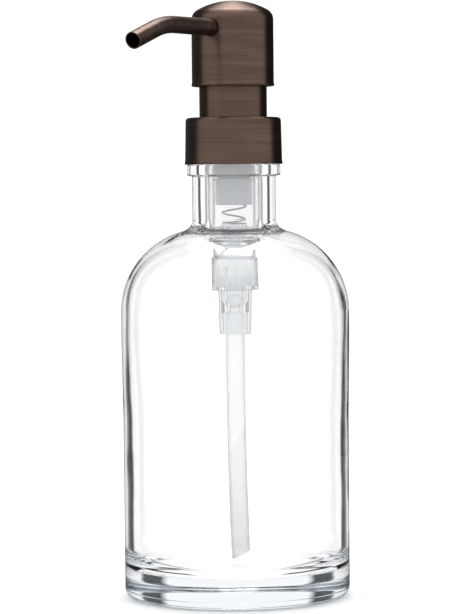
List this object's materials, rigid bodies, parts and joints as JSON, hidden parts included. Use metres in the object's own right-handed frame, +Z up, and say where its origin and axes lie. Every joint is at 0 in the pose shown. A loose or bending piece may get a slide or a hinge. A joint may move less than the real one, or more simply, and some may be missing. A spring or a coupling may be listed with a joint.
{
  "type": "soap pump dispenser",
  "caption": "Clear round glass bottle with a screw-on lotion pump, a bronze-finished metal head and bent spout, and a dip tube.",
  "frame": {"origin": "on the bottle's axis, in the plane of its foot ring", "axes": "+Z up along the bottle's axis; the spout points along -Y"},
  "size_m": [0.0766, 0.0989, 0.2002],
  "materials": {
    "bottle_glass": "clear, thick-walled, polished",
    "bronze_finish": "oil-rubbed bronze, brushed round the axis",
    "clear_plastic": "natural polypropylene, translucent",
    "dip_plastic": "natural low-density polyethylene, milky",
    "grey_plastic": "light grey moulded plastic",
    "black_plastic": "black moulded plastic",
    "spring_steel": "drawn stainless wire",
    "ball_glass": "glass valve ball",
    "gasket_foam": "white sealing liner"
  },
  "bodies": {
    "bottle": {"glass_bottle": "bottle_glass"},
    "gasket": {"neck_gasket": "gasket_foam"},
    "pump": {"pump_housing": "clear_plastic", "valve_body": "clear_plastic", "ball_retainer": "grey_plastic", "tube_connector": "clear_plastic", "dip_tube": "dip_plastic", "chaplet": "grey_plastic", "guide_sleeve": "bronze_finish", "return_spring": "spring_steel"},
    "closure": {"closure_nut": "black_plastic", "collar_shell": "bronze_finish"},
    "rod": {"stem": "grey_plastic", "piston_seat": "grey_plastic"},
    "slider": {"piston": "grey_plastic"},
    "head": {"head_shell": "bronze_finish", "head_core": "black_plastic", "spout_tube": "bronze_finish"},
    "check_ball": {"inlet_ball": "ball_glass"}
  },
  "joints": [
    {"name": "pump_lift", "type": "slide", "parent": "bottle", "child": "gasket", "axis": [0, 0, 1], "range_m": [0, 0.165]},
    {"name": "thread_rise", "type": "slide", "parent": "gasket", "child": "pump", "axis": [0, 0, 1], "range_m": [0, 0.0053]},
    {"name": "closure_turn", "type": "hinge", "parent": "pump", "child": "closure", "pos_m": [0, 0, 0.153], "axis": [0, 0, 1], "range_deg": [0, 450]},
    {"name": "head_press", "type": "slide", "parent": "pump", "child": "rod", "axis": [0, 0, -1], "range_m": [0, 0.01], "stiffness_N_per_m": 900, "springref_m": -0.008, "deforming": ["return_spring"]},
    {"name": "piston_slip", "type": "slide", "parent": "rod", "child": "slider", "axis": [0, 0, 1], "range_m": [0, 0.0007]},
    {"name": "head_swivel", "type": "hinge", "parent": "rod", "child": "head", "pos_m": [0, 0, 0.18], "axis": [0, 0, 1], "continuous": true},
    {"name": "ball_lift", "type": "slide", "parent": "pump", "child": "check_ball", "axis": [0, 0, 1], "range_m": [0, 0.0023]}
  ],
  "couplings": [
    {"joint": "thread_rise", "follows": "closure_turn", "m_per_rad": 0.00067323}
  ]
}
